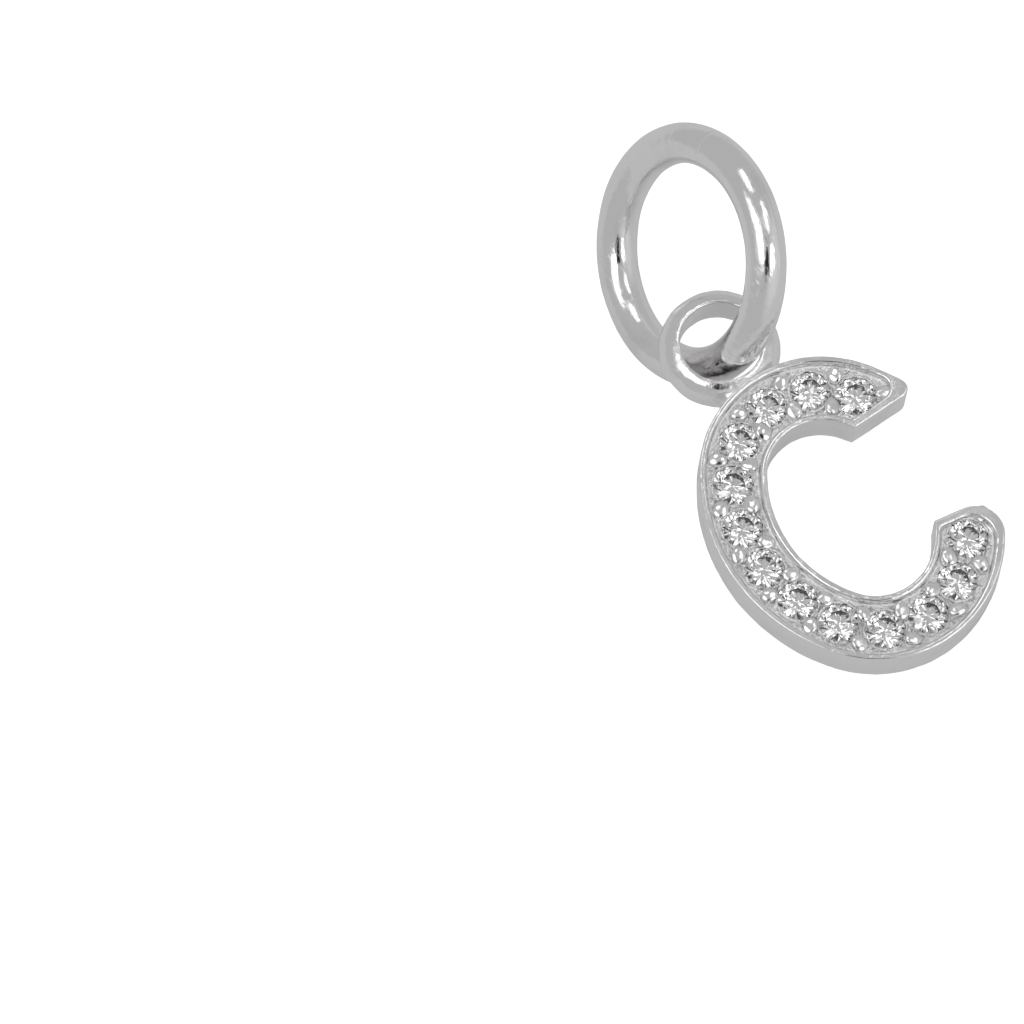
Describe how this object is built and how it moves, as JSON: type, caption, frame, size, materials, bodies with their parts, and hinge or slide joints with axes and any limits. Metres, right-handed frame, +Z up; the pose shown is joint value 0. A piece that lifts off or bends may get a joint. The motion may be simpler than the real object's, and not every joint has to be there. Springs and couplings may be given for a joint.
{
  "type": "initial pendant",
  "caption": "Small flat letter C charm in silver, set with a row of round clear stones, with a fixed loop and a round jump ring to hang it from a chain or bracelet",
  "frame": {"origin": "on the table, under the middle of the pendant as it lies", "axes": "+Z up from the table, +Y along the pendant from the letter towards the jump ring, +X to the letter's open side"},
  "size_m": [0.0065, 0.0148, 0.0054],
  "materials": {
    "letter_silver": "cast silver, polished, with a rough sparkling floor between the stones",
    "ring_silver": "polished silver wire",
    "clear_stone": "clear brilliant-cut stone"
  },
  "bodies": {
    "root": {"letter": "letter_silver", "jump_ring": "ring_silver", "stone_01": "clear_stone", "stone_02": "clear_stone", "stone_03": "clear_stone", "stone_04": "clear_stone", "stone_05": "clear_stone", "stone_06": "clear_stone", "stone_07": "clear_stone", "stone_08": "clear_stone", "stone_09": "clear_stone", "stone_10": "clear_stone", "stone_11": "clear_stone", "stone_12": "clear_stone", "stone_13": "clear_stone"}
  },
  "joints": []
}
